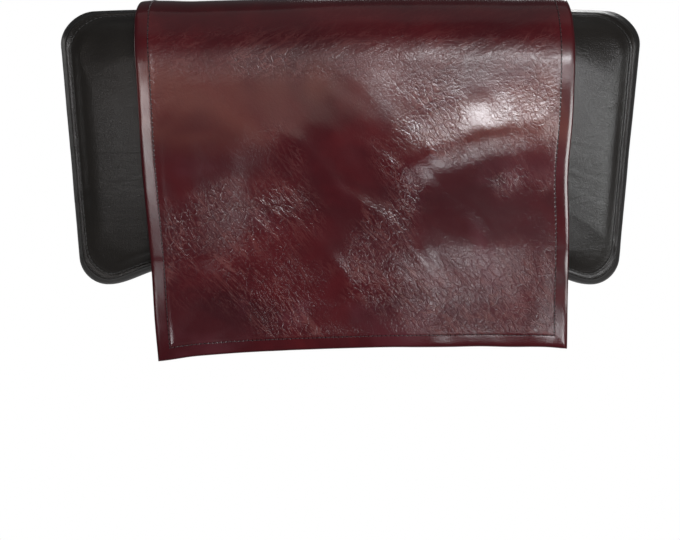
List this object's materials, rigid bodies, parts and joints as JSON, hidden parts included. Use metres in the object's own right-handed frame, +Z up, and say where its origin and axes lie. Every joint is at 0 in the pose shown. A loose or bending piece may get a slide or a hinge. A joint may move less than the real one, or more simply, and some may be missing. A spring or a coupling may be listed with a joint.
{
  "type": "padded chair headrest with loose leather cover",
  "caption": "Bolt-on padded leather headrest for an office chair, with a hemmed leather cover sheet draped loosely over it.",
  "frame": {"origin": "middle of the four bolt holes, on the rear face of the wooden board", "axes": "+X to the right as seen from the front, along the pad's length; +Y to the rear, out of the bolted face; +Z up"},
  "size_m": [0.4884, 0.1344, 0.3256],
  "materials": {
    "pad_leather": "soft satin black upholstery leather with fine grain",
    "cover_leather": "glossy burgundy pull-up leather with lighter creases",
    "pad_thread": "black bonded nylon thread",
    "cover_thread": "dark burgundy bonded nylon thread",
    "plywood": "raw birch plywood",
    "zinc_steel": "zinc-plated steel",
    "staple_wire": "galvanised staple wire",
    "firm_foam": "firm polyurethane foam",
    "soft_foam": "soft polyurethane foam",
    "polyester_wadding": "white polyester wadding",
    "black_nonwoven": "thin black non-woven dust cover"
  },
  "bodies": {
    "headrest": {"back_board": "plywood", "tee_nuts": "zinc_steel", "foam_core": "firm_foam", "foam_topper": "soft_foam", "batting_wrap": "polyester_wadding", "front_panel": "pad_leather", "side_band": "pad_leather", "front_seam_thread": "pad_thread", "side_seam_thread": "pad_thread", "band_staples": "staple_wire", "dust_cover": "black_nonwoven", "dust_cover_staples": "staple_wire"},
    "cover": {"cover_sheet": "cover_leather", "hem_thread_left": "cover_thread", "hem_thread_right": "cover_thread", "hem_thread_front": "cover_thread", "hem_thread_rear": "cover_thread"}
  },
  "joints": [
    {"name": "cover_lift", "type": "slide", "parent": "headrest", "child": "cover", "axis": [0, 0, 1], "range_m": [0, 0.35]}
  ]
}
